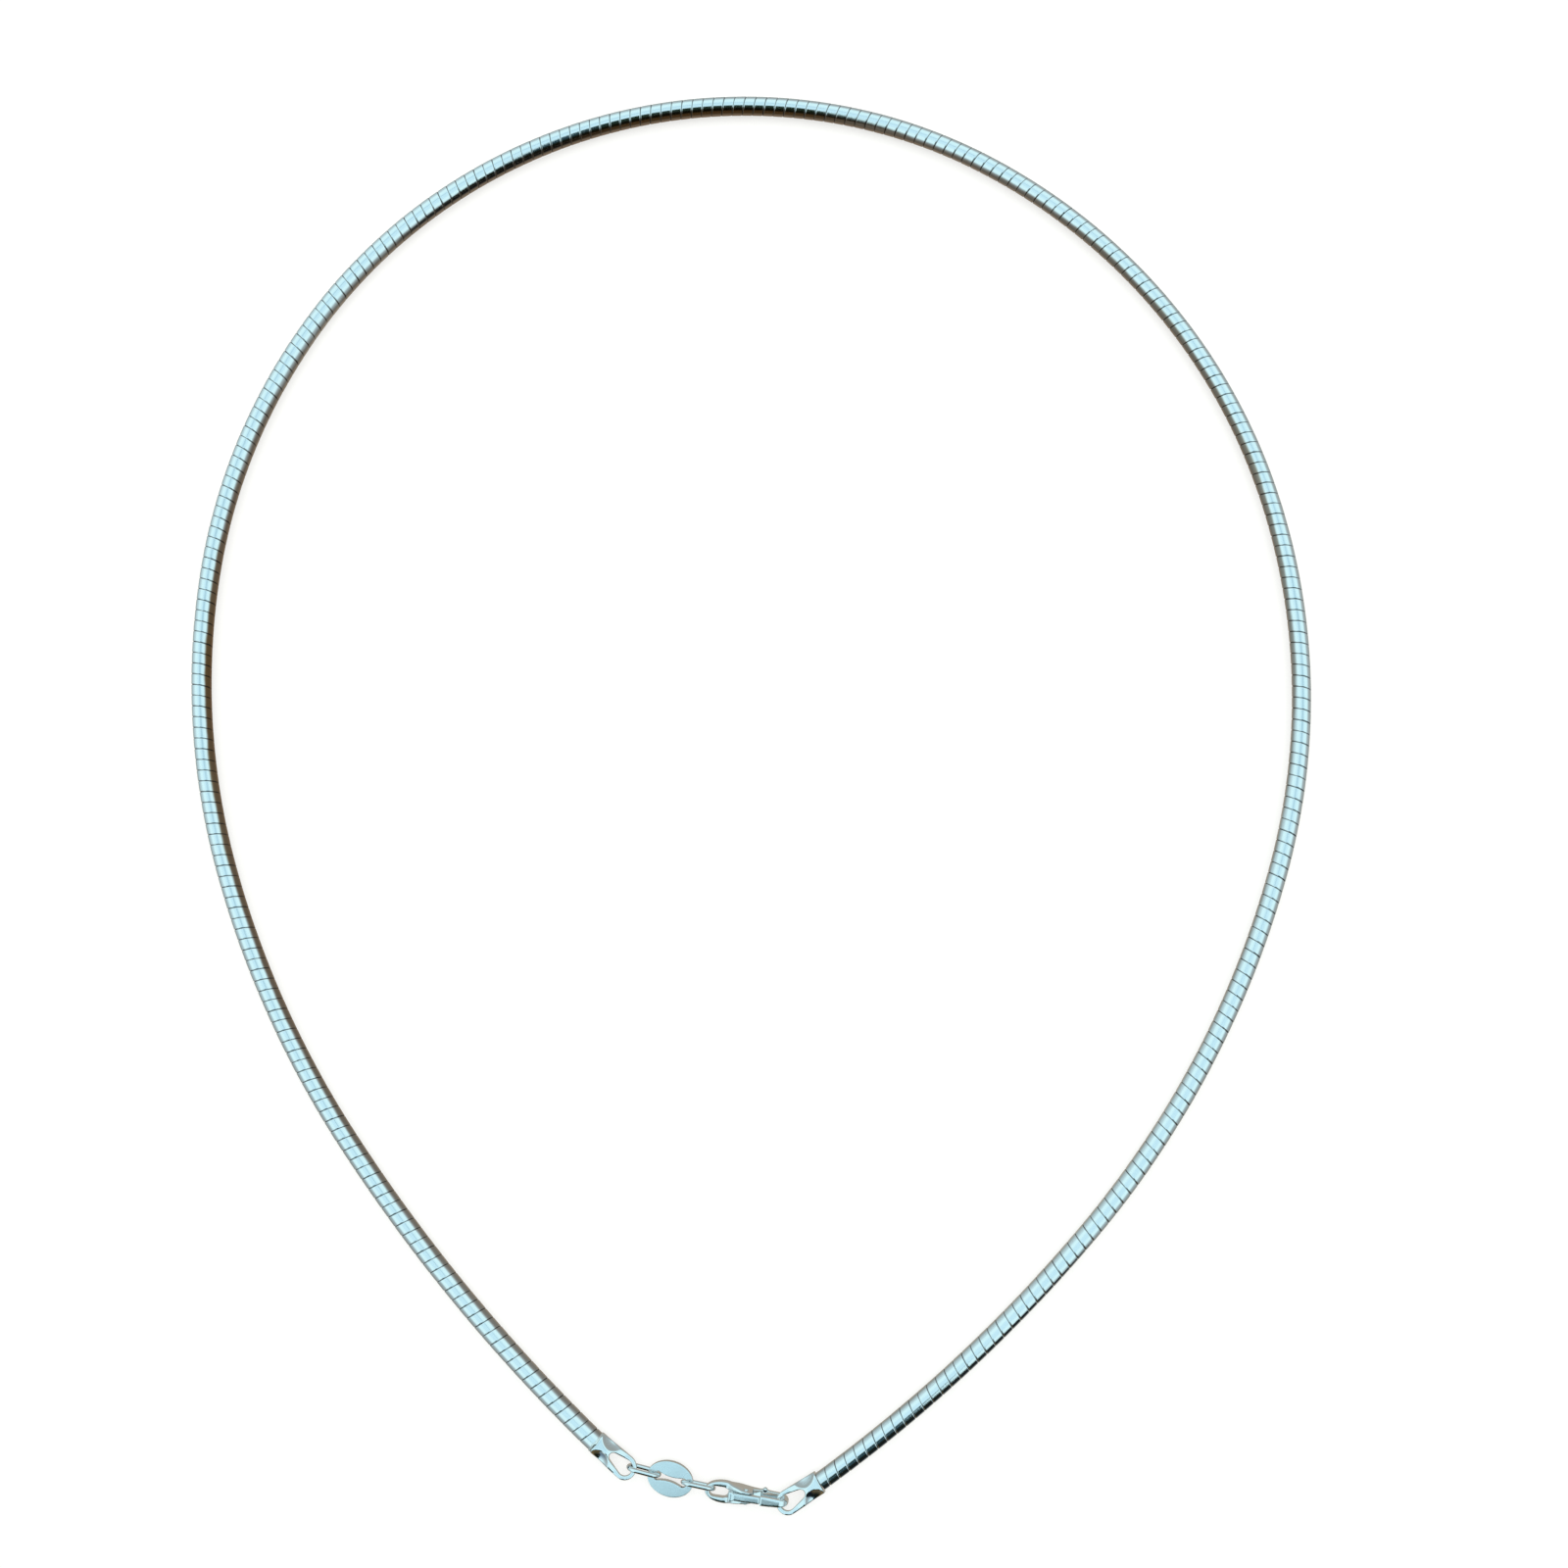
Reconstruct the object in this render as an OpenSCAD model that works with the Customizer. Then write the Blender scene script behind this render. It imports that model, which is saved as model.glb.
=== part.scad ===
/* [Wound collar] */
// Distance from one turn of the wound strip to the next
pitch = 1.24; // [1.1:0.01:1.4]
// Outer diameter over the turns
collar_d = 2.2; // [2.1:0.05:2.2]
// Depth of the groove between two turns
groove_depth = 0.08; // [0.04:0.01:0.12]

/* [End caps] */
// Outer width of a cap's ring
cap_ring_d = 2.4; // [2.3:0.05:2.5]
// Width of the wide end of the ring's pear-shaped hole
cap_hole_d = 1.6; // [1.5:0.05:1.65]
// Distance from the collar's end to the middle of the ring
cap_reach = 4; // [3.9:0.05:4.05]
// Height of the ring
cap_ring_h = 0.75; // [0.65:0.05:0.8]
// Height of the cap at its neck
cap_neck_h = 1.85; // [1.75:0.05:1.85]
// Radius of the four scallops that leave the ridges of the cap
cap_scallop_r = 1.6; // [1.5:0.05:1.65]

/* [Connector links] */
// Thickness of the links' wire
wire_d = 0.46; // [0.4:0.02:0.48]
// Distance between the wire's centres at the two ends of a link
link_reach = 3.3; // [3.2:0.05:3.35]
// Outer height of a link
link_h = 2.1; // [2.05:0.05:2.15]

/* [Oval link] */
// Length of the oval link
oval_l = 4.9; // [4.8:0.02:5]
// Width of the oval link
oval_w = 3.4; // [3.3:0.02:3.7]
// Thickness of the oval link in its middle
oval_t = 0.92; // [0.88:0.02:1]
// Length of its slot
slot_l = 3.7; // [3.6:0.05:3.8]
// Width of the slot at its waist
slot_waist = 0.5; // [0.4:0.02:0.6]
// Width of the slot at its round ends
slot_end_d = 0.96; // [0.9:0.02:1.1]

/* [Clasp] */
// Distance from the middle of the eye's hole to the nose of the claw
claw_reach = 7.35; // [7.3:0.05:7.4]
// Height of the claw
claw_h = 2.45; // [2.4:0.05:2.5]
// Thickness of the claw's two jaws
jaw_t = 0.45; // [0.42:0.01:0.46]
// Thickness of the nose
nose_t = 0.45; // [0.4:0.01:0.46]
// Thickness of the eye
eye_t = 0.8; // [0.7:0.05:0.8]
// Length of the eye's hole
eye_hole_l = 2.04; // [2:0.02:2.1]
// Width of the eye's hole
eye_hole_w = 1.04; // [1:0.02:1.1]
// Width of the lever
lever_w = 0.7; // [0.6:0.05:0.7]
// Width of the lever's thumb pad
pad_w = 0.96; // [0.8:0.02:1]
// Distance from the lever's pin to its tip
lever_r = 1.68; // [1.6:0.02:1.7]
// Diameter of the lever's pin
pin_d = 0.44; // [0.4:0.02:0.46]

/* [Layout] */
// Heading of the left connector link, in degrees from the row's X axis
link_left_heading = -13; // [-14:0.5:-12]
// Lean of the left connector link from upright
link_left_lean = -1; // [-4:1:4]
// Where the left link bears on its cap's ring, in degrees from the row's X axis
link_left_bearing = 10; // [-15:5:15]
// Heading of the oval link
oval_heading = -15; // [-17:0.5:-13]
// Heading of the right connector link
link_right_heading = -10.5; // [-12:0.5:-9]
// Lean of the right connector link from upright
link_right_lean = -9; // [-12:1:-6]
// Heading of the clasp
clasp_heading = -7; // [-7.4:0.2:-6.2]
// Length that the left cap takes from the collar
cap_left_bite = 0.4; // [0.2:0.05:0.5]
// How far the left cap's ring is turned from the collar's end
cap_left_turn = 3.3; // [2:0.1:4]
// How far the left cap is rolled towards the middle of the loop
cap_left_roll = 14; // [8:1:16]
// How far the left cap's ring is lifted
cap_left_lift = 2; // [1.5:0.5:2.5]
// How far the right cap's ring is turned from the collar's end
cap_right_turn = -3.8; // [-4.2:0.1:-3]
// How far the right cap is rolled towards the middle of the loop
cap_right_roll = 12; // [8:1:14]
// How far the claw lifts the right cap's ring
cap_right_lift = 3; // [2:0.5:3.5]

/* [Hidden] */
$fn = 48;
SILVER = [0.8, 0.87, 0.9];
BRIGHT_SILVER = [0.86, 0.92, 0.95];
SATIN_SILVER = [0.7, 0.82, 0.88];

// Corners round the wound strip, with one at the very top and one at the bottom
sides = 10;
first_corner = 18;
collar_r = collar_d / 2;
groove_r = collar_r - groove_depth;
axis_z = collar_r;
end_gap = 0.13;
half_gap = 0.02;

// The collar's centreline as tangent arcs, from the left cap clockwise to the right cap
RADIUS = 0;
TURN = 1;
collar_arcs = [
    [190, 12.7], [110, 17.6], [82, 24.2], [66, 27.8], [59, 86.8],
    [68, 43.4], [75, 33.0], [105, 24.0], [160, 13.8]
];
collar_start = [-14.54, -72.87, 138.4, 0];
X = 0;
Y = 1;
HEADING = 2;
LENGTH = 3;

function left_of(heading) = [-sin(heading), cos(heading)];
function ahead_of(heading) = [cos(heading), sin(heading)];
function arc_length(radius, turn) = radius * turn * PI / 180;

// The station reached from station p by a clockwise arc
function after_arc(p, radius, turn) =
    let (c = [p[X], p[Y]] - radius * left_of(p[HEADING]))
    let (q = c + radius * left_of(p[HEADING] - turn))
    [q[X], q[Y], p[HEADING] - turn, p[LENGTH] + arc_length(radius, turn)];

arc_starts = [
    for (i = 0, p = collar_start; i < len(collar_arcs);
        p = after_arc(p, collar_arcs[i][RADIUS], collar_arcs[i][TURN]), i = i + 1) p
];
last_arc = len(collar_arcs) - 1;
collar_end = after_arc(arc_starts[last_arc], collar_arcs[last_arc][RADIUS], collar_arcs[last_arc][TURN]);
collar_length = collar_end[LENGTH];

function arc_at(s, i = 0) = i < last_arc && s > arc_starts[i + 1][LENGTH] ? arc_at(s, i + 1) : i;
function station(s) =
    let (i = arc_at(s), radius = collar_arcs[i][RADIUS])
    after_arc(arc_starts[i], radius, (s - arc_starts[i][LENGTH]) * 180 / (PI * radius));

// A point of the strip's surface at length s, angle a round the collar and distance r from its axis
function surface_point(s, a, r) =
    let (p = station(s), q = [p[X], p[Y]] - r * cos(a) * left_of(p[HEADING]))
    [q[X], q[Y], axis_z + r * sin(a)];
function corner_angle(j) = first_corner + 360 * j / sides;
function flat_ring(s) = [for (j = [0 : sides - 1]) surface_point(s, corner_angle(j), collar_r)];

// One strip wound from length s0 to s1: rows half a turn apart climb along it as a helix,
// by turns in the groove and on the crest, between a flat ring at each end
module wound_strip(s0, s1) {
    lead = pitch / 4;
    rows = floor(2 * ((s1 - s0 - lead) / pitch - 1)) + 1;
    helix = [
        for (k = [0 : rows - 1], j = [0 : sides - 1])
            surface_point(s0 + lead + pitch * (k / 2 + j / sides), corner_angle(j),
                k % 2 == 0 ? groove_r : collar_r)
    ];
    first_ring = len(helix);
    last_ring = first_ring + sides;
    last_row = rows - 1;
    last_side = sides - 1;
    // The corner after the last one of a row is the first one of the row a whole turn on
    function corner(k, j) = j < sides ? k * sides + j : (k + 2) * sides;
    wound = [
        for (k = [0 : last_row - 1], j = [0 : last_side]) if (j < last_side || k + 3 <= last_row)
            [corner(k, j), corner(k, j + 1), corner(k + 1, j + 1), corner(k + 1, j)]
    ];
    first_face = [for (j = [last_side : -1 : 0]) first_ring + j];
    first_band = [
        for (j = [0 : last_side - 1])
            [first_ring + j, first_ring + j + 1, corner(0, j + 1), corner(0, j)]
    ];
    first_step = [
        for (pair = [
            [first_ring + last_side, first_ring], [first_ring, corner(0, 0)],
            [corner(0, 0), corner(1, 0)], [corner(1, 0), corner(2, 0)]
        ]) [corner(0, last_side), pair[0], pair[1]]
    ];
    last_band = [
        for (j = [0 : last_side - 1])
            [corner(last_row, j), corner(last_row, j + 1), last_ring + j + 1, last_ring + j]
    ];
    last_step = [
        for (pair = [
            [last_ring, last_ring + last_side], [last_ring + last_side, corner(last_row, last_side)],
            [corner(last_row, last_side), corner(last_row - 1, last_side)],
            [corner(last_row - 1, last_side), corner(last_row - 2, last_side)]
        ]) [corner(last_row, 0), pair[0], pair[1]]
    ];
    last_face = [for (j = [0 : last_side]) last_ring + j];
    polyhedron(
        concat(helix, flat_ring(s0), flat_ring(s1)),
        concat([first_face], first_band, first_step, wound, last_band, last_step, [last_face])
    );
}

module collar_left() {
    color(SILVER) wound_strip(cap_left_bite, collar_length / 2 - half_gap / 2);
}

module collar_right() {
    color(SILVER) wound_strip(collar_length / 2 + half_gap / 2, collar_length);
}

// Points of a round arc in a plane
function arc_points(c, r, from, to, steps = 12) =
    [for (i = [0 : steps]) let (a = from + (to - from) * i / steps) c + r * [cos(a), sin(a)]];

// Places its children at a point, heading along the table, at the height of the collar's axis
module placed(point, heading) {
    translate([point[X], point[Y], axis_z]) rotate([0, 0, heading]) children();
}

cap_ring_r = cap_ring_d / 2;
cap_hole_r = cap_hole_d / 2;
cap_round_r = 1.24;
cap_neck_x = 1.5;
cap_apex_r = 0.46;
cap_apex_x = 2.36;
cap_back_w = 2.24;
cap_flat_x = 3.3;
cap_scallop_x = 1.4;
cap_scallop_y = 1.72;
cap_scallop_z = 1.55;
cap_tip_x = cap_reach + cap_ring_r;

module cap_outline() {
    polygon(concat(
        [[end_gap, -cap_back_w / 2]],
        arc_points([cap_reach, 0], cap_ring_r, -90, 90, 16),
        [[end_gap, cap_back_w / 2]]
    ));
}

module cap_hole_outline() {
    tangent = 90 + asin((cap_hole_r - cap_apex_r) / (cap_reach - cap_apex_x));
    polygon(concat(
        arc_points([cap_reach, 0], cap_hole_r, -tangent, tangent, 20),
        arc_points([cap_apex_x, 0], cap_apex_r, tangent, 360 - tangent, 10)
    ));
}

module cap_side_outline() {
    polygon([
        [end_gap, -cap_neck_h / 2], [cap_neck_x, -cap_neck_h / 2], [cap_flat_x, -cap_ring_h / 2],
        [cap_tip_x, -cap_ring_h / 2], [cap_tip_x, cap_ring_h / 2], [cap_flat_x, cap_ring_h / 2],
        [cap_neck_x, cap_neck_h / 2], [end_gap, cap_neck_h / 2]
    ]);
}

// Cap that lies along +X from the collar's end, with its ring flat
module end_cap() {
    difference() {
        intersection() {
            linear_extrude(height = collar_d, center = true) cap_outline();
            rotate([90, 0, 0]) linear_extrude(height = cap_ring_d + 1, center = true) cap_side_outline();
            rotate([0, 90, 0]) cylinder(h = cap_tip_x + 1, r = cap_round_r);
        }
        linear_extrude(height = collar_d + 1, center = true) cap_hole_outline();
        for (side = [-1, 1], face = [-1, 1])
            translate([cap_scallop_x, side * cap_scallop_y, face * cap_scallop_z]) sphere(r = cap_scallop_r);
    }
}

cap_left_start = station(cap_left_bite);
cap_left_heading = cap_left_start[HEADING] + 180 + cap_left_turn;
cap_right_heading = collar_end[HEADING] + cap_right_turn;

module end_cap_left() {
    color(BRIGHT_SILVER) placed(cap_left_start, cap_left_heading)
        rotate([0, -cap_left_lift, 0]) rotate([-cap_left_roll, 0, 0]) end_cap();
}

module end_cap_right() {
    color(BRIGHT_SILVER) placed(collar_end, cap_right_heading)
        rotate([0, -cap_right_lift, 0]) rotate([cap_right_roll, 0, 0]) end_cap();
}

// How far the centre of a link's wire stays from the end of a hole in metal of thickness t,
// so that the bend of the link clears the metal's edges
link_clearance = 0.05;
link_bend_r = (link_h - wire_d) / 2;
link_inner_r = link_bend_r - wire_d / 2;
function link_seat(t) =
    wire_d / 2 + link_clearance + link_inner_r - sqrt(pow(link_inner_r, 2) - pow(t / 2, 2));

slot_half = slot_l / 2;
slot_end_x = slot_half - slot_end_d / 2;
slot_hold = slot_half - link_seat(oval_t);
eye_hold = eye_hole_l / 2 - link_seat(eye_t);
cap_hold = cap_hole_r - link_seat(cap_ring_h / cos(cap_left_roll));

// How far the oval link and the eye lie aside and slack on the upright links
slot_play = 0.08;
slot_slack = 0.1;
eye_play = 0.17;

// The run of pieces from the left cap to the clasp, each from where the last one holds it
cap_ring_left = [cap_left_start[X], cap_left_start[Y]] + cap_reach * ahead_of(cap_left_heading);
link_left_start = cap_ring_left + cap_hold * ahead_of(link_left_bearing);
link_left_middle = link_left_start + link_reach / 2 * ahead_of(link_left_heading);
link_left_end = link_left_start + link_reach * ahead_of(link_left_heading);
oval_middle = link_left_end + (slot_hold - slot_slack) * ahead_of(oval_heading)
    - slot_play * left_of(oval_heading);
link_right_start = oval_middle + slot_hold * ahead_of(oval_heading) + slot_play * left_of(oval_heading);
link_right_middle = link_right_start + link_reach / 2 * ahead_of(link_right_heading);
link_right_end = link_right_start + link_reach * ahead_of(link_right_heading);
eye_middle = link_right_end + eye_hold * ahead_of(clasp_heading) - eye_play * left_of(clasp_heading);

// Upright link of round wire, long along X
module wire_link() {
    straight = link_reach - 2 * link_bend_r;
    for (end = [0, 180])
        rotate([0, end, 0]) translate([straight / 2, 0, 0]) rotate([90, 90, 0])
            rotate_extrude(angle = 180) translate([link_bend_r, 0]) circle(d = wire_d);
    for (level = [-1, 1])
        translate([0, 0, level * link_bend_r]) rotate([0, 90, 0])
            cylinder(h = straight, d = wire_d, center = true);
}

module connector_link_left() {
    color(BRIGHT_SILVER) placed(link_left_middle, link_left_heading) rotate([link_left_lean, 0, 0]) wire_link();
}

module connector_link_right() {
    color(BRIGHT_SILVER) placed(link_right_middle, link_right_heading)
        rotate([link_right_lean, 0, 0]) wire_link();
}

oval_rim_t = 0.48;
// Radius of the two shallow domes that make the link thickest in its middle
oval_crown = (oval_t - oval_rim_t) / 2;
oval_dome_r = (pow(oval_l / 2, 2) + pow(oval_crown, 2)) / (2 * oval_crown);

function ellipse_points(rx, ry, steps = 40) =
    [for (i = [0 : steps - 1]) let (a = 360 * i / steps) [rx * cos(a), ry * sin(a)]];
function slot_half_w(x) =
    slot_waist / 2 + (slot_end_d - slot_waist) / 2 * pow(x / slot_end_x, 2);

module slot_outline() {
    steps = 8;
    side = [for (i = [-steps + 1 : steps - 1]) let (x = slot_end_x * i / steps) [x, slot_half_w(x)]];
    polygon(concat(
        side,
        arc_points([slot_end_x, 0], slot_end_d / 2, 90, -90),
        [for (i = [len(side) - 1 : -1 : 0]) [side[i][X], -side[i][Y]]],
        arc_points([-slot_end_x, 0], slot_end_d / 2, 270, 90)
    ));
}

module oval_link() {
    color(SATIN_SILVER) placed(oval_middle, oval_heading) difference() {
        intersection() {
            linear_extrude(height = oval_t + 1, center = true)
                polygon(ellipse_points(oval_l / 2, oval_w / 2));
            translate([0, 0, oval_t / 2 - oval_dome_r]) sphere(r = oval_dome_r, $fn = 200);
            translate([0, 0, oval_dome_r - oval_t / 2]) sphere(r = oval_dome_r, $fn = 200);
        }
        linear_extrude(height = oval_t + 1, center = true) slot_outline();
    }
}

// Places of the clasp in its own frame: X runs from the middle of the eye's hole to the nose, Z up from the table
eye_z = axis_z;
eye_outer = [1.97, 1.05];
eye_outer_x = 0.5;
nose_r = 0.6;
pivot_x = 2.85;
pivot_z = 1.62;
tip_gap = 0.03;
slot_floor_z = 1;
lever_side_gap = 0.03;
pin_gap = 0.02;
cheek_back_x = 0.9;
cheek_foot_x = 1.6;
cheek_front_x = 3.55;
cheek_top_z = 2.22;
cheek_w = 1.5;
lever_top_z = 3;

// Half widths of the claw seen from above, from the cheeks over the hook's tip to the nose
claw_plan = [
    [0.9, 0.94], [1.4, 0.93], [1.9, 0.88], [2.4, 0.78], [2.9, 0.67], [3.6, 0.54], [4.2, 0.48],
    [4.9, 0.48], [5.5, 0.42], [6.3, 0.38], [6.9, 0.32], [7.2, 0.24], [claw_reach, 0.12]
];

module claw_plan_outline() {
    polygon(concat(
        claw_plan,
        [for (i = [len(claw_plan) - 1 : -1 : 0]) [claw_plan[i][X], -claw_plan[i][Y]]]
    ));
}

// Boss on the lower jaw, beside the hook's tip
jaw_boss = [4.8, 0.48, 0.28];
jaw_boss_r = 0.26;

// Claw seen from the side: two jaws joined by the nose, open where the lever closes it
module claw_side_outline() {
    outer_r = nose_r + jaw_t;
    inner_x = claw_reach - nose_t;
    difference() {
        polygon(concat(
            [[cheek_foot_x, 0]],
            arc_points([claw_reach - outer_r, outer_r], outer_r, -90, 0),
            arc_points([claw_reach - outer_r, claw_h - outer_r], outer_r, 0, 90),
            [[cheek_foot_x, claw_h]]
        ));
        polygon(concat(
            [[0, jaw_t]],
            arc_points([inner_x - nose_r, jaw_t + nose_r], nose_r, -90, 0),
            arc_points([inner_x - nose_r, claw_h - jaw_t - nose_r], nose_r, 0, 90),
            [[0, claw_h - jaw_t]]
        ));
        translate([0, jaw_t]) square([pivot_x, claw_h]);
        intersection() {
            translate([pivot_x, pivot_z]) circle(r = lever_r + tip_gap);
            translate([0, slot_floor_z]) square([claw_reach, claw_h]);
        }
    }
}

module cheek_side_outline() {
    polygon([
        [cheek_back_x, eye_z - eye_t / 2], [cheek_foot_x, 0], [4.4, 0], [4.4, jaw_t], [cheek_front_x, 0.8],
        [cheek_front_x, 1.9], [3.2, cheek_top_z], [2.4, cheek_top_z], [1.5, 1.9],
        [cheek_back_x, eye_z + eye_t / 2]
    ]);
}

// Section of the casting across its length, which is rounded off towards the table and the top
module casting_section_outline() {
    polygon([
        [-0.45, 0], [0.45, 0], [0.8, 0.35], [1, 0.8], [1, 1.6], [0.8, 2.15], [0.45, claw_h],
        [-0.45, claw_h], [-0.8, 2.15], [-1, 1.6], [-1, 0.8], [-0.8, 0.35]
    ]);
}

module upright(outline_w) {
    rotate([90, 0, 0]) linear_extrude(height = outline_w, center = true) children();
}

module clasp_eye() {
    translate([0, 0, eye_z - eye_t / 2]) linear_extrude(height = eye_t)
        translate([eye_outer_x, 0]) polygon(ellipse_points(eye_outer[X], eye_outer[Y]));
}

module eye_hole() {
    hole_r = eye_hole_w / 2;
    end_x = eye_hole_l / 2 - hole_r;
    linear_extrude(height = claw_h) polygon(concat(
        arc_points([end_x, 0], hole_r, -90, 90),
        arc_points([-end_x, 0], hole_r, 90, 270)
    ));
}

module clasp_body() {
    slot_w = lever_w + 2 * lever_side_gap;
    color(SILVER) placed_clasp() difference() {
        union() {
            clasp_eye();
            translate(jaw_boss) sphere(r = jaw_boss_r);
            intersection() {
                union() {
                    upright(cheek_w + 1) claw_side_outline();
                    upright(cheek_w + 1) cheek_side_outline();
                }
                linear_extrude(height = claw_h) claw_plan_outline();
                rotate([90, 0, 90]) linear_extrude(height = claw_reach) casting_section_outline();
            }
        }
        eye_hole();
        translate([0, -slot_w / 2, slot_floor_z]) cube([4.4, slot_w, claw_h]);
        translate([pivot_x, 0, pivot_z]) rotate([90, 0, 0])
            cylinder(h = cheek_w + 1, d = pin_d + 2 * pin_gap, center = true);
    }
}

// Places its children from the clasp's own frame to where the clasp lies
module placed_clasp() {
    translate([eye_middle[X], eye_middle[Y], 0]) rotate([0, 0, clasp_heading]) children();
}

module lever_side_outline() {
    polygon(concat(
        [[1.05, 1.98], [1.05, 2.36], [1.2, 2.5], [1.4, 2.5], [1.75, 2.4], [pivot_x, 2.45]],
        arc_points([pivot_x, pivot_z], lever_r, 29.5, 12, 4),
        [[3.9, 1.9], [3.3, 1.6], [3.1, 1.3], [2.6, 1.3], [2.35, 1.7], [1.6, 1.98]]
    ));
}

// Lever seen from above: a thumb pad behind, wider than the part between the cheeks
module lever_plan_outline() {
    polygon([
        [0, -pad_w / 2], [1.5, -pad_w / 2], [1.6, -lever_w / 2], [claw_reach, -lever_w / 2],
        [claw_reach, lever_w / 2], [1.6, lever_w / 2], [1.5, pad_w / 2], [0, pad_w / 2]
    ]);
}

module clasp_lever() {
    color(SATIN_SILVER) placed_clasp() difference() {
        intersection() {
            upright(pad_w) lever_side_outline();
            linear_extrude(height = lever_top_z) lever_plan_outline();
        }
        translate([pivot_x, 0, pivot_z]) rotate([90, 0, 0])
            cylinder(h = lever_w + 1, d = pin_d + 2 * pin_gap, center = true);
    }
}

module clasp_pin() {
    color(BRIGHT_SILVER) placed_clasp() translate([pivot_x, 0, pivot_z]) rotate([90, 0, 0])
        cylinder(h = cheek_w + 0.04, d = pin_d, center = true);
}

collar_left();
collar_right();
end_cap_left();
end_cap_right();
connector_link_left();
oval_link();
connector_link_right();
clasp_body();
clasp_lever();
clasp_pin();
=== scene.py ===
"""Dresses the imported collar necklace: the wound strip, the castings, the links and a plain stage."""

import math

import bpy
import numpy as np
from mathutils import Matrix, Vector


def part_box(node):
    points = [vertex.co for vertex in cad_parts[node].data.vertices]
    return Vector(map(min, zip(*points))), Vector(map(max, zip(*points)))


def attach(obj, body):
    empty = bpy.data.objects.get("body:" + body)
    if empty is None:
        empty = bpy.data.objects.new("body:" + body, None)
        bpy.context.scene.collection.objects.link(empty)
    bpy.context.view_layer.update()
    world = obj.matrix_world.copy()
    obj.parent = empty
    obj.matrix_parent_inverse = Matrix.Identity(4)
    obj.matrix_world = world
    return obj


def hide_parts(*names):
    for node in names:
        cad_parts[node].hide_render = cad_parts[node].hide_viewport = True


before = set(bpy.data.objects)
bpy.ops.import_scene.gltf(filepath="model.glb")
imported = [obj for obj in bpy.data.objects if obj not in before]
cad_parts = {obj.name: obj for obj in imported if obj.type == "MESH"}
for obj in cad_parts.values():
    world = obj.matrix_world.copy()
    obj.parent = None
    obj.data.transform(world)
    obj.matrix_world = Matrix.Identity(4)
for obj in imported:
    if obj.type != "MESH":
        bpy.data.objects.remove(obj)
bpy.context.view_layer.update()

bl_info = {
    "name": "Wound Collar Necklace",
    "version": (1, 0, 0),
    "blender": (4, 5, 0),
    "location": "3D View > Sidebar > Necklace",
    "description": "Builds a flexible wound collar with cast end caps, links and a lobster clasp",
    "category": "Add Mesh",
}

MM = 0.001

# The collar's route, as in the part's source: clockwise arcs from the left cap to the right one
ROUTE_START = (-14.54, -72.87)
ROUTE_HEADING = 138.4
ROUTE_ARCS = (
    (190, 12.7), (110, 17.6), (82, 24.2), (66, 27.8), (59, 86.8),
    (68, 43.4), (75, 33.0), (105, 24.0), (160, 13.8),
)
LEFT_CAP_BITE = 0.4

# Section of the strip: places across it, from one seam to the next, and how far each lies below the crown
STRIP_PLACES = (0.0, 0.02, 0.045, 0.075, 0.1, 0.9, 0.925, 0.955, 0.98)
STRIP_DEPTHS = (1.0, 0.6, 0.2, 0.0, 0.0, 0.0, 0.0, 0.2, 0.6)

# Painted brown reflection on the neck side: places along the collar, how far inward it starts, and how
# strong it is
PAINTED_REFLECTION_PLACES = (0, 15, 55, 100, 140, 200, 235, 280, 322, 366, 400)
PAINTED_REFLECTION_STARTS = (0.62, 0.62, 0.58, 0.5, 0.8, 0.52, 0.68, 0.46, 0.76, 0.84, 0.75)
PAINTED_REFLECTION_AMOUNTS = (0.6, 0.6, 0.85, 1.0, 0.7, 0.9, 0.75, 0.8, 0.45, 0.3, 0.35)
PAINTED_REFLECTION_FADE = 0.25

# The strip is wound a little tighter towards the right cap, and lies a hair off the arcs:
# places along the collar, the share of the diameter there, and how far outward it lies in millimetres
WINDING_PLACES = (0, 25, 55, 100, 138, 165, 197, 236, 278, 322, 366, 398, 409)
WINDING_SHARES = (0.99, 1.0, 1.01, 1.01, 1.01, 1.0, 0.975, 0.95, 0.935, 0.925, 0.94, 0.89, 0.865)
WINDING_ASIDE = (0.03, 0.06, 0.03, -0.03, -0.07, -0.04, 0.0, 0.055, 0.09, 0.06, 0.05, 0.0, 0.0)

# Unevenness of the turns: how fast lift, tilt and slip change along the strip, and how large they are
LIFT_RATE = 2.1
TILT_RATE = 1.7
SLIP_RATE = 1.9
TILT_MEAN = 0.2
TILT_SWING = 0.6
SLIP_MM = 0.022
LIFT_ROOM = 1.5
AXIS_HEIGHT_SHARE = 0.99

# Wire links, in millimetres, and each link's node, name, heading and lean in degrees
LINK_REACH = 3.3
LINK_HEIGHT = 2.1
WIRE_DIAMETER = 0.46
LINK_BEND_STEPS = 24
WIRE_LINKS = (
    ("connector_link_left", "wire_link_left", -13.0, -1.0),
    ("connector_link_right", "wire_link_right", -10.5, -9.0),
)

# Solder at the left cap, in millimetres, and the slope of its coarse and fine lumps along each axis
SOLDER_HEIGHT = 1.08
SOLDER_RING = 0.98
SOLDER_THICKNESS = 0.17
SOLDER_CREEP = 0.12
SOLDER_LUMP_SHARE = 0.35
SOLDER_COARSE = (4.1, 3.3, 5.2)
SOLDER_FINE = (-7.7, 9.1, 6.4)
SOLDER_STEPS = 72
SOLDER_SIDES = 14
SOLDER_COLOUR = (0.95, 0.955, 0.93)

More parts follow.
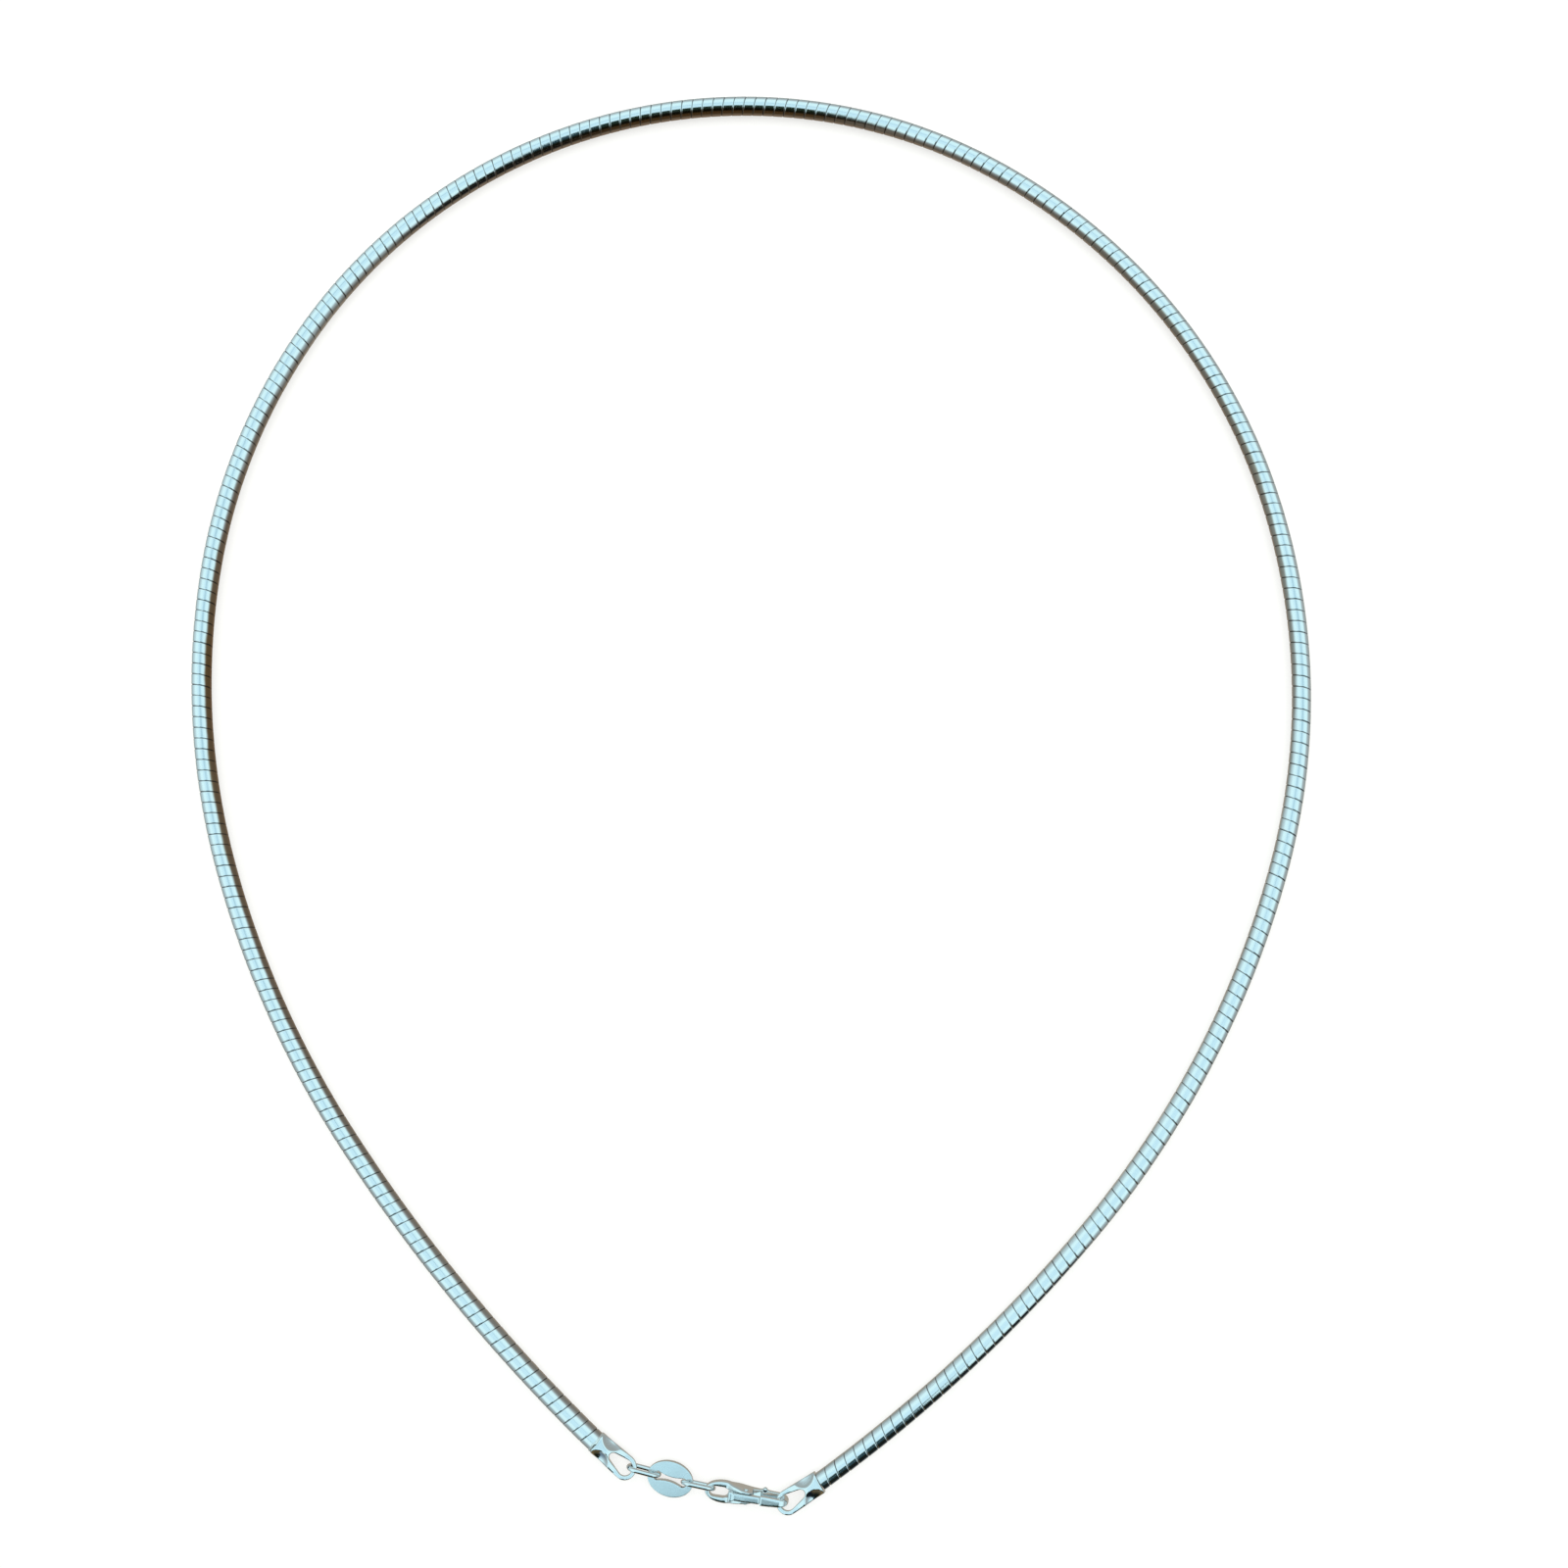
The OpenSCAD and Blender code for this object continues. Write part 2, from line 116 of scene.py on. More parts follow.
# How each casting is tumbled and worn; worn_above is a height in millimetres
CAP_CASTING = {"voxel": 0.04 * MM, "rounding": 8, "fill": 0.02 * MM, "wear": 36, "worn_above": 0.9}
OVAL_CASTING = {"voxel": 0.045 * MM, "rounding": 10, "fill": 0.01 * MM}
CLASP_CASTING = {"voxel": 0.04 * MM, "rounding": 6, "fill": 0.015 * MM, "wear": 40, "worn_above": 0.9}
LEVER_CASTING = {"voxel": 0.03 * MM, "rounding": 4, "fill": 0.01 * MM, "wear": 60, "worn_above": 1.6}
RIVET_CASTING = {"voxel": 0.02 * MM, "rounding": 4}
WEAR_STEPS = 10
WEAR_FADE = 0.5
OVAL_RIM = 0.24
CLASP_HEADING = -7.0
CLASP_CORE = 0.42

# Bends of the surface, in millimetres, that count as a full hollow and as a shaded one for the painted
# navy shade, and the slopes of the surface where that painted shade and the painted brown shade of the
# steep flanks begin
HOLLOW_BEND = 0.008
SHADED_BEND = 0.003
SHADED_FROM = 0.1
SHADED_FADE = 0.35
FLANK_SHADE_FROM = 0.3

# What the silver reflects: colours, and heights and bearings in degrees where they fade into each other
GROUND = (0.33, 0.36, 0.35)
GROUND_LEFT = (0.35, 0.42, 0.42)
GROUND_FRONT = (0.25, 0.27, 0.26)
TABLE = (0.46, 0.43, 0.37)
HORIZON = (0.36, 0.41, 0.42)
HORIZON_LEFT = (0.50, 0.66, 0.70)
HORIZON_FRONT = (0.33, 0.40, 0.42)
SKY = (0.68, 0.945, 0.99)
ZENITH = (0.575, 0.845, 0.95)
TABLE_HEIGHTS = (-60.0, -34.0)
HORIZON_HEIGHTS = (-30.0, 10.0)
SKY_HEIGHTS = (8.0, 38.0)
ZENITH_HEIGHTS = (50.0, 76.0)
LEFT_SIDE = (0.3, -0.8)
FRONT_SIDE = (0.2, -0.6)

# A dim bar overhead: its colour, middle, half width and half length, and how strong it is
BAR = (0.2, 0.38, 0.46)
BAR_MIDDLE = (0.05, 0.2)
BAR_LENGTH = (0.15, 0.22)
BAR_WIDTH = (0.03, 0.06)
BAR_RISE = (0.5, 0.8)
BAR_STRENGTH = 0.4

# The dark side in front: its edges in degrees, how much its right edge slants, and its colours
DARK_LEFT_EDGE = (-112.0, -109.0)
DARK_LEFT_STEP = 7.0
DARK_LEFT_STEP_HEIGHTS = (-5.0, 12.0)
DARK_RIGHT_EDGE = (-45.0, -42.5)
DARK_RIGHT_SLANT = 0.37
DARK_TOP = (69.0, 74.0)
DARK_FOOT = (-44.0, -18.0)
NAVY_BEARINGS = (-82.0, -68.0)
BROWN_HEIGHTS = (-8.0, 20.0)
DEEP_FROM_HEIGHT = 34.0
DEEP_FROM_NAVY = -14.0
DEEP_TO_HEIGHT = 60.0
BROWN = (0.15, 0.105, 0.045)
BLUE_BLACK = (0.01, 0.014, 0.018)
BLACK = (0.007, 0.009, 0.004)
DEEP_GREEN = (0.014, 0.03, 0.019)
DEEP_NAVY = (0.028, 0.07, 0.095)

# The floor lies just under the necklace, and the dome stands inside the floor's edge
FLOOR_DROP = 0.02
FLOOR_LIGHT = (1.0, 0.985, 0.965, 1.0)
DOME_SHARE = 0.48
DOME_RINGS = 12
DOME_SIDES = 48
DOME_PALE = (0.97, 0.97, 0.965)
DOME_DIM = (0.955, 0.96, 0.96)

LIGHT_SIZE = 0.7
LIGHT_COLOUR = (1.0, 0.955, 0.93)
LIGHT_PLACE = (0.05, 0.1, 0.6)

# The camera's right and up directions
CAMERA_RIGHT = (0.99858, 0.0, -0.05329)
CAMERA_UP = (0.00701, 0.9913, 0.13144)


class CollarSizes(bpy.types.PropertyGroup):
    """Sizes of the wound strip"""

    pitch: bpy.props.FloatProperty(
        name="Pitch", description="Distance from one turn of the strip to the next",
        default=1.24 * MM, min=1.1 * MM, max=1.4 * MM, subtype="DISTANCE", unit="LENGTH", precision=5)
    diameter: bpy.props.FloatProperty(
        name="Diameter", description="Outer diameter over the turns",
        default=2.17 * MM, min=2.0 * MM, max=2.2 * MM, subtype="DISTANCE", unit="LENGTH", precision=5)
    groove: bpy.props.FloatProperty(
        name="Groove", description="Depth of the seam between two turns",
        default=0.1 * MM, min=0.04 * MM, max=0.14 * MM, subtype="DISTANCE", unit="LENGTH", precision=5)
    unevenness: bpy.props.FloatProperty(
        name="Unevenness", description="How far a turn stands off its neighbours",
        default=0.007 * MM, min=0.0, max=0.03 * MM, subtype="DISTANCE", unit="LENGTH", precision=6)
    facets: bpy.props.IntProperty(
        name="Facets", description="Faces round one turn", default=52, min=24, max=60)


class SilverColours(bpy.types.PropertyGroup):
    """Colours of the silver"""

    bright: bpy.props.FloatVectorProperty(
        name="Bright silver", description="Freshly polished surface", subtype="COLOR",
        default=(0.93, 0.965, 0.975), min=0.0, max=1.0)
    # Painted brown reflection and shade, for the strip's neck side and the castings' steep flanks; faint
    # rub marks use it too
    painted_brown_and_rubs: bpy.props.FloatVectorProperty(
        name="Tarnish", description="Brown tarnish of the neck side", subtype="COLOR",
        default=(0.25, 0.14, 0.06), min=0.0, max=1.0)
    seam: bpy.props.FloatVectorProperty(
        name="Seam", description="Dark blue-grey of the seams and hollows", subtype="COLOR",
        default=(0.05, 0.07, 0.085), min=0.0, max=1.0)
    # Painted shade: a navy tint laid on hollows that face the front, standing in for dark blue
    # reflections there
    painted_navy_shade: bpy.props.FloatVectorProperty(
        name="Blued silver", description="Blue tarnish in the scallops' shaded halves", subtype="COLOR",
        default=(0.16, 0.35, 0.6), min=0.0, max=1.0)
    satin: bpy.props.FloatVectorProperty(
        name="Satin silver", description="Bead-blasted faces", subtype="COLOR",
        default=(0.86, 0.93, 0.95), min=0.0, max=1.0)
    roughness: bpy.props.FloatProperty(
        name="Roughness", description="Roughness of the polished faces", default=0.1, min=0.02, max=0.6)


class StageSettings(bpy.types.PropertyGroup):
    """Floor, light and camera"""

    floor_width: bpy.props.FloatProperty(
        name="Floor width", description="Width of the square floor", default=4.0, min=0.5, max=5.0,
        subtype="DISTANCE", unit="LENGTH")
    floor_colour: bpy.props.FloatVectorProperty(
        name="Floor", description="Colour of the pale floor", subtype="COLOR",
        default=(0.3, 0.28, 0.27), min=0.0, max=1.0)
    floor_glow: bpy.props.FloatProperty(
        name="Floor glow", description="Light that the floor gives from below, as a light table",
        default=0.72, min=0.0, max=2.0)
    key_power: bpy.props.FloatProperty(
        name="Key power", description="Power of the soft light overhead", default=3.2, min=0.0, max=50.0,
        subtype="POWER", unit="POWER")
    lens: bpy.props.FloatProperty(
        name="Lens", description="Focal length on a 36 mm wide frame", default=33.75, min=20.0, max=100.0,
        subtype="DISTANCE_CAMERA", unit="CAMERA")
    camera_place: bpy.props.FloatVectorProperty(
        name="Camera", description="Where the camera hangs over the necklace", subtype="TRANSLATION",
        unit="LENGTH", default=(0.01365, -0.0242, 0.1628))


class Nodes:
    """Adds nodes to a tree and joins them, so that a finish reads as a list of layers."""

    def __init__(self, tree):
        self.tree = tree
        tree.nodes.clear()

    def add(self, kind, inputs=None, **settings):
        node = self.tree.nodes.new(kind)
        for name, value in settings.items():
            setattr(node, name, value)
        for name, value in (inputs or {}).items():
            self.feed(node.inputs[name], value)
        return node

    def feed(self, socket, value):
        if isinstance(value, bpy.types.NodeSocket):
            self.tree.links.new(value, socket)
        else:
            socket.default_value = value

    def math(self, operation, *values):
        node = self.add("ShaderNodeMath", operation=operation)
        for socket, value in zip(node.inputs, values):
            self.feed(socket, value)
        return node.outputs[0]

    def ramp(self, value, low, high, to_low=0.0, to_high=1.0):
        node = self.add(
            "ShaderNodeMapRange", {"Value": value, "From Min": low, "From Max": high,
                                   "To Min": to_low, "To Max": to_high},
            interpolation_type="SMOOTHSTEP")
        return node.outputs["Result"]

    def mix(self, factor, low, high):
        node = self.add("ShaderNodeMix", data_type="RGBA")
        self.feed(node.inputs["Factor"], factor)
        for socket, value in zip((node.inputs[6], node.inputs[7]), (low, high)):
            self.feed(socket, value if isinstance(value, bpy.types.NodeSocket) else (*value, 1.0))
        return node.outputs[2]

    def noise(self, vector, scale, detail, roughness=0.55):
        node = self.add("ShaderNodeTexNoise", {
            "Vector": vector, "Scale": scale, "Detail": detail, "Roughness": roughness})
        return node.outputs["Fac"]

    def layer(self, name, output="Fac"):
        return self.add("ShaderNodeAttribute", attribute_name=name).outputs[output]

    def place(self):
        return self.add("ShaderNodeTexCoord").outputs["Object"]

    def stretched(self, vector, x, y, z):
        node = self.add("ShaderNodeMapping", {"Vector": vector, "Scale": (x, y, z)})
        return node.outputs["Vector"]


def new_material(name):
    material = bpy.data.materials.new(name)
    material.use_nodes = True
    return material, Nodes(material.node_tree)


def finish_surface(nodes, colour, roughness, height, strength, distance, grazing=None):
    """Ends a tree in one metal surface with a bump; grazing is the tint seen along the surface."""
    bump = nodes.add("ShaderNodeBump", {"Height": height, "Strength": strength, "Distance": distance})
    inputs = {
        "Base Color": colour, "Roughness": roughness, "Metallic": 1.0, "Normal": bump.outputs["Normal"]}
    if grazing is not None:
        inputs["Specular Tint"] = grazing
    surface = nodes.add("ShaderNodeBsdfPrincipled", inputs)
    nodes.add("ShaderNodeOutputMaterial", {"Surface": surface.outputs["BSDF"]})


def wound_silver():
    """Polished strip: tarnish in the seams, a painted brown reflection on the neck side, rub marks along
    the strip.
    """
    colours = bpy.context.scene.necklace_silver
    material, nodes = new_material("wound_silver")
    edge = nodes.layer("seam")
    cloud = nodes.noise(nodes.place(), scale=160.0, detail=4.0, roughness=0.6)
    along = nodes.stretched(nodes.layer("strip", "Vector"), 260.0, 3600.0, 1.0)
    rubs = nodes.noise(along, scale=1.0, detail=4.0, roughness=0.7)
    # Painted reflection: the neck side is tinted brown as if it reflected a dark brown surface; faint rub
    # marks take the same tint
    cloudy_reflection_side = nodes.math("ADD", nodes.layer("painted_reflection_side"), nodes.ramp(cloud, 0.3, 0.7, -0.25, 0.25))
    skin = nodes.math("MULTIPLY", nodes.ramp(cloudy_reflection_side, 0.0, 1.0), nodes.layer("painted_reflection_amount"))
    skin = nodes.math("MAXIMUM", skin, nodes.ramp(rubs, 0.62, 0.78, 0.0, 0.07))
    colour = nodes.mix(skin, tuple(colours.bright), tuple(colours.painted_brown_and_rubs))
    groove = nodes.math(
        "MAXIMUM", nodes.ramp(edge, 0.008, 0.034, 0.95, 0.0), nodes.ramp(edge, 0.02, 0.08, 0.12, 0.0))
    colour = nodes.mix(groove, colour, tuple(colours.seam))
    rough = nodes.math(
        "ADD", nodes.ramp(cloud, 0.3, 0.75, colours.roughness - 0.03, colours.roughness + 0.05),
        nodes.math("MULTIPLY", skin, 0.05))
    grazing = nodes.mix(groove, (1.0, 1.0, 1.0), tuple(colours.seam))
    finish_surface(nodes, colour, rough, rubs, strength=0.22, distance=0.012 * MM, grazing=grazing)
    return material


def cast_silver(name, tint, grain, polish):
    """Silver casting: cloudy polish, small pits, dark hollows that no polish reached, and painted shade:
    brown on steep flanks, navy in hollows facing the front.
    """
    colours = bpy.context.scene.necklace_silver
    material, nodes = new_material(name)
    place = nodes.place()
    hollow = nodes.layer("hollow")
    cloud = nodes.noise(place, scale=700.0, detail=4.0, roughness=0.62)
    pits = nodes.noise(place, scale=5200.0, detail=3.0, roughness=0.6)
    tarnished = nodes.math(
        "MULTIPLY", nodes.ramp(hollow, 0.15, 0.95), nodes.ramp(cloud, 0.2, 0.8, 0.6, 0.97))
    # Painted shade: steep flanks are tinted brown, as if they reflected dark surroundings
    colour = nodes.mix(nodes.math("MULTIPLY", nodes.layer("painted_flank_shade"), 0.25), tint, tuple(colours.painted_brown_and_rubs))
    # Painted navy shade in hollows that face the front
    colour = nodes.mix(nodes.math("MULTIPLY", nodes.layer("shaded"), 0.9), colour, tuple(colours.painted_navy_shade))
    colour = nodes.mix(tarnished, colour, tuple(colours.seam))
    rough = nodes.ramp(cloud, 0.3, 0.75, polish - 0.04, polish + 0.07)
    rough = nodes.math("ADD", rough, nodes.math("MULTIPLY", nodes.ramp(hollow, 0.1, 0.5), 0.22))
    height = nodes.math("ADD", nodes.math("MULTIPLY", cloud, 0.7), nodes.math("MULTIPLY", pits, grain))
    finish_surface(nodes, colour, rough, height, strength=0.3, distance=0.02 * MM)
    return material


def mesh_object(name, points, faces):
    mesh = bpy.data.meshes.new(name)
    mesh.from_pydata(np.asarray(points, dtype=float).tolist(), [], faces)
    mesh.validate()
    mesh.shade_smooth()
    piece = bpy.data.objects.new(name, mesh)
    bpy.context.scene.collection.objects.link(piece)
    return piece


def float_layer(piece, name, values):
    layer = piece.data.attributes.new(name, "FLOAT", "POINT")
    layer.data.foreach_set("value", np.asarray(values, dtype=np.float32))


def vector_layer(piece, name, values):
    layer = piece.data.attributes.new(name, "FLOAT_VECTOR", "POINT")
    layer.data.foreach_set("vector", np.asarray(values, dtype=np.float32).ravel())


def vertex_values(values, name):
    """One vector for each vertex, from a mesh's vertices or their normals."""
    found = np.empty(len(values) * 3)
    values.foreach_get(name, found)
    return found.reshape(-1, 3)


def vertex_places(piece):
    return vertex_values(piece.data.vertices, "co")


def vertex_normals(piece):
    return vertex_values(piece.data.vertex_normals, "vector")


def move_vertices(piece, points):
    piece.data.vertices.foreach_set("co", points.ravel())
    piece.data.update()


def arc_starts():
    """Radii and turns (radians) of the route's arcs, and the length of route before and after each."""
    radii = np.array([arc[0] for arc in ROUTE_ARCS], dtype=float)
    turns = np.radians([arc[1] for arc in ROUTE_ARCS])
    return radii, turns, np.concatenate([[0.0], np.cumsum(radii * turns)])


def route(lengths):
    """Places and headings (radians) on the collar's centreline, at lengths in millimetres."""
    radii, turns, starts = arc_starts()
    headings = math.radians(ROUTE_HEADING) - np.concatenate([[0.0], np.cumsum(turns)])
    corners = [np.array(ROUTE_START)]
    for radius, before, after in zip(radii, headings, headings[1:]):
        step = np.array([math.sin(before) - math.sin(after), math.cos(after) - math.cos(before)])
        corners.append(corners[-1] + radius * step)
    corners = np.array(corners)
    arc = np.clip(np.searchsorted(starts, lengths, side="right") - 1, 0, len(radii) - 1)
    heading = headings[arc] - (lengths - starts[arc]) / radii[arc]
    x = corners[arc, 0] + radii[arc] * (np.sin(headings[arc]) - np.sin(heading))
    y = corners[arc, 1] + radii[arc] * (np.cos(heading) - np.cos(headings[arc]))
    return x, y, heading


def wander(position, seed):
    """Smooth unevenness from -1 to 1 that doesn't repeat along the strip."""
    waves = ((0.93, 1.0), (1.71, 0.8), (2.87, 0.55), (0.31, 0.9))
    total = sum(size * np.sin(position * rate + seed * (3.1 + rate * 7.7)) for rate, size in waves)
    return total / sum(size for _, size in waves)


def helix_faces(rows, per_turn, count):
    """Faces of a wound grid: the last column of a row meets the first column of the next turn's row."""
    row, column = np.meshgrid(np.arange(rows - per_turn - 1), np.arange(count), indexing="ij")
    wrapped = (column + 1) // count * per_turn
    ahead = (column + 1) % count
    return np.stack([
        row * count + column, (row + wrapped) * count + ahead,
        (row + 1 + wrapped) * count + ahead, (row + 1) * count + column,
    ], axis=-1).reshape(-1, 4)


def wind_strip(name, length_from, length_to, sizes):
    """The strip wound from one length of the route to another, in millimetres."""
    pitch = sizes.pitch / MM
    radius = sizes.diameter / 2 / MM
    turns = np.arange(math.floor(length_from / pitch) - 1, math.ceil(length_to / pitch) + 1)
    places = (turns[:, None] + np.array(STRIP_PLACES)[None, :]).ravel()
    across = np.tile(STRIP_PLACES, len(turns))
    depth = np.tile(STRIP_DEPTHS, len(turns)) * sizes.groove / MM
    angle = 2 * math.pi * np.arange(sizes.facets) / sizes.facets
    winding = places[:, None] + angle[None, :] / (2 * math.pi)
    turn = winding - across[:, None]
    uneven = sizes.unevenness / MM
    tilt = TILT_MEAN + TILT_SWING * wander(turn * TILT_RATE, 2)
    lift = uneven * (wander(turn * LIFT_RATE, 1) + (2 * across[:, None] - 1) * tilt)
    slip = SLIP_MM * wander(turn * SLIP_RATE, 3)
    length = pitch * winding + slip
    inside = (length > length_from) & (length < length_to)
    length = np.clip(length, length_from, length_to)
    x, y, heading = route(length)
    share = np.interp(length, WINDING_PLACES, WINDING_SHARES)
    r = radius * share - uneven * LIFT_ROOM - depth[:, None] + lift
    right = np.cos(angle)[None, :] * r - np.interp(length, WINDING_PLACES, WINDING_ASIDE)
    points = np.stack([
        x + right * np.sin(heading), y - right * np.cos(heading),
        radius * AXIS_HEIGHT_SHARE + np.sin(angle)[None, :] * r,
    ], axis=-1)

    faces = helix_faces(len(places), len(STRIP_PLACES), sizes.facets)
    faces = faces[inside.ravel()[faces].any(axis=1)]
    piece = mesh_object(name, points.reshape(-1, 3) * MM, faces.tolist())
    across = np.broadcast_to(across[:, None], length.shape)
    float_layer(piece, "seam", np.minimum(across, 1 - across).ravel())
    # Where and how strongly the painted brown reflection lies on the neck side
    inward = np.cos(angle)[None, :]
    start = np.interp(length, PAINTED_REFLECTION_PLACES, PAINTED_REFLECTION_STARTS)
    float_layer(piece, "painted_reflection_side", ((inward - start) / PAINTED_REFLECTION_FADE).ravel())
    float_layer(piece, "painted_reflection_amount", np.interp(length, PAINTED_REFLECTION_PLACES, PAINTED_REFLECTION_AMOUNTS).ravel())
    strip = np.stack([winding * 2 * math.pi * radius, length, across], axis=-1)
    vector_layer(piece, "strip", strip.reshape(-1, 3) * MM)
    return piece


def tube_ring(name, path, radius, sides=20):
    """Closed round wire along a closed path."""
    path = np.asarray(path)
    ahead = np.roll(path, -1, axis=0) - np.roll(path, 1, axis=0)
    ahead /= np.linalg.norm(ahead, axis=1)[:, None]
    flat = np.cross(ahead[0], ahead[len(path) // 4])
    flat /= np.linalg.norm(flat)
    out = np.cross(ahead, flat)
    angle = 2 * math.pi * np.arange(sides) / sides
    aside = np.cos(angle)[None, :, None] * out[:, None, :]
    upward = np.sin(angle)[None, :, None] * flat[None, None, :]
    points = path[:, None, :] + radius * (aside + upward)
    faces = []
    for i in range(len(path)):
        for j in range(sides):
            k, m = (i + 1) % len(path), (j + 1) % sides
            faces.append((i * sides + j, k * sides + j, k * sides + m, i * sides + m))
    return mesh_object(name, points.reshape(-1, 3), faces)


def lumpy_bead(name, place, heading, ring, thickness):
    """A bead of solder round a joint: it stands a little unevenly, as it ran."""
    ahead = np.array([math.cos(heading), math.sin(heading), 0.0])
    aside = np.array([-math.sin(heading), math.cos(heading), 0.0])
    upward = np.array([0.0, 0.0, 1.0])
    path = []
    for step in range(SOLDER_STEPS):
        a = 2 * math.pi * step / SOLDER_STEPS
        creep = SOLDER_CREEP * wander(np.array(3.0 * math.cos(a)), 5) * MM
        path.append(place + ahead * creep + ring * (math.cos(a) * aside + math.sin(a) * upward))
    piece = tube_ring(name, path, thickness, SOLDER_SIDES)
    points = vertex_places(piece)
    coarse = wander((points / MM) @ np.array(SOLDER_COARSE), 8)
    fine = wander((points / MM) @ np.array(SOLDER_FINE), 9)
    lump = 0.6 * coarse + 0.4 * fine
    points += vertex_normals(piece) * (SOLDER_LUMP_SHARE * thickness * lump)[:, None]
    move_vertices(piece, points)
    return piece


def apply_modifiers(piece):
    depsgraph = bpy.context.evaluated_depsgraph_get()
    mesh = bpy.data.meshes.new_from_object(piece.evaluated_get(depsgraph))
    piece.modifiers.clear()
    piece.data = mesh


def cast_from(node, name, voxel, rounding, fill=0.0, wear=0, worn_above=0.0):
    """A casting in the shape of a CAD node: edges rounded by tumbling, and by wear on its upper side."""
    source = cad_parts[node]
    mesh = source.data.copy()
    mesh.transform(source.matrix_world)
    mesh.materials.clear()
    piece = bpy.data.objects.new(name, mesh)
    bpy.context.scene.collection.objects.link(piece)
    remesh = piece.modifiers.new("Even skin", "REMESH")
    remesh.mode = "VOXEL"
    remesh.voxel_size = voxel
    tumble = piece.modifiers.new("Tumbling", "SMOOTH")
    tumble.factor = 0.5
    tumble.iterations = rounding
    skin = piece.modifiers.new("Cast skin", "DISPLACE")
    skin.strength = fill
    skin.mid_level = 0.0
    apply_modifiers(piece)
    if wear:
        heights = vertex_places(piece)[:, 2]
        share = np.clip((heights / MM - worn_above) / WEAR_FADE, 0.0, 1.0)
        group = piece.vertex_groups.new(name="upper side")
        for step in range(1, WEAR_STEPS + 1):
            places = np.flatnonzero(np.round(share * WEAR_STEPS) == step)
            group.add(places.tolist(), step / WEAR_STEPS, "REPLACE")
        rub = piece.modifiers.new("Wear", "SMOOTH")
        rub.factor = 0.5
        rub.iterations = wear
        rub.vertex_group = "upper side"
        apply_modifiers(piece)
    piece.data.shade_smooth()
    return piece


def mark_hollows(piece, reach=6):
    """Stores how far each point lies in a hollow, from the bend of the surface round it, and masks for
    painted shade: navy in hollows facing the front, brown on steep flanks.
    """
    mesh = piece.data
    count = len(mesh.vertices)
    points = vertex_places(piece)
    normals = vertex_normals(piece)
    edges = np.empty(len(mesh.edges) * 2, dtype=int)
    mesh.edges.foreach_get("vertices", edges)
    a, b = edges.reshape(-1, 2).T
    number = np.bincount(a, minlength=count) + np.bincount(b, minlength=count)
    number = np.maximum(number, 1)[:, None]
    smooth = points.copy()
    for _ in range(reach):
        total = np.zeros_like(smooth)
        np.add.at(total, a, smooth[b])
        np.add.at(total, b, smooth[a])
        smooth = total / number
    bend = ((smooth - points) * normals).sum(axis=1)
    float_layer(piece, "hollow", np.clip(bend / (HOLLOW_BEND * MM), 0.0, 1.0))
    # Painted navy shade: hollows whose surface faces the front
    in_hollow = np.clip(bend / (SHADED_BEND * MM), 0.0, 1.0)
    facing_front = np.clip((-normals[:, 1] - SHADED_FROM) / SHADED_FADE, 0.0, 1.0)
    float_layer(piece, "shaded", in_hollow * facing_front)
    # Painted brown shade on steep flanks, from how far the normal turns away from upright
    level = np.clip(np.abs(normals[:, 2]) / FLANK_SHADE_FROM, 0.0, 1.0)
    float_layer(piece, "painted_flank_shade", 1.0 - level * level * (3 - 2 * level))


def level_face(piece, rim, share, tilt):
    """Flattens a domed plate above its rim, as by burnishing, and tips it a little."""
    points = vertex_places(piece)
    middle = (points.max(axis=0) + points.min(axis=0)) / 2
    above = np.maximum(points[:, 2] - middle[2] - rim, 0.0)
    points[:, 2] -= (1 - share) * above + tilt * (points[:, 1] - middle[1])
    move_vertices(piece, points)


def round_flanks(piece, middle, across, inner, share):
    """Draws the upper half of a casting's flanks in, so that its section is rounded like a worn one."""
    points = vertex_places(piece)
    half = points[:, 2].max() / 2
    rise = np.clip((points[:, 2] - half) / half, 0.0, 1.0)
    aside = (points[:, :2] - np.array(middle)) @ np.array(across)
    drawn = np.sign(aside) * np.maximum(np.abs(aside) - inner, 0.0) * share * rise ** 2
    points[:, :2] -= drawn[:, None] * np.array(across)
    move_vertices(piece, points)


def dress(piece, material, body, slot, *nodes):
    piece.data.materials.clear()
    piece.data.materials.append(material)
    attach(piece, body)
    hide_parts(*nodes)


class NECKLACE_OT_collar(bpy.types.Operator):
    """Wind the strip of both halves of the collar"""

    bl_idname = "necklace.collar"
    bl_label = "Wind collar"

    def execute(self, context):
        sizes = context.scene.necklace_collar
        material = wound_silver()
        total = arc_starts()[2][-1]
        halves = (("strip_left", LEFT_CAP_BITE, total / 2, "collar_left"),
                  ("strip_right", total / 2, total, "collar_right"))
        for name, start, end, node in halves:
            dress(wind_strip(name, start, end, sizes), material, "necklace", "wound_silver", node)
        return {"FINISHED"}


class NECKLACE_OT_end_caps(bpy.types.Operator):
    """Cast the two teardrop end caps"""

    bl_idname = "necklace.end_caps"
    bl_label = "Cast end caps"

    def execute(self, context):
        bright = tuple(context.scene.necklace_silver.bright)
        material = cast_silver("cap_silver", bright, grain=0.2, polish=0.1)
        for node, name in (("end_cap_left", "cap_left"), ("end_cap_right", "cap_right")):
            piece = cast_from(node, name, **CAP_CASTING)
            mark_hollows(piece)
            dress(piece, material, "necklace", "cast_silver", node)
        x, y, heading = route(np.array([LEFT_CAP_BITE]))
        place = np.array([x[0], y[0], SOLDER_HEIGHT]) * MM
        piece = lumpy_bead("solder_bead", place, heading[0], SOLDER_RING * MM, SOLDER_THICKNESS * MM)
        mark_hollows(piece)
        solder = cast_silver("solder_silver", SOLDER_COLOUR, grain=1.2, polish=0.3)
        dress(piece, solder, "necklace", "cast_silver")
        return {"FINISHED"}


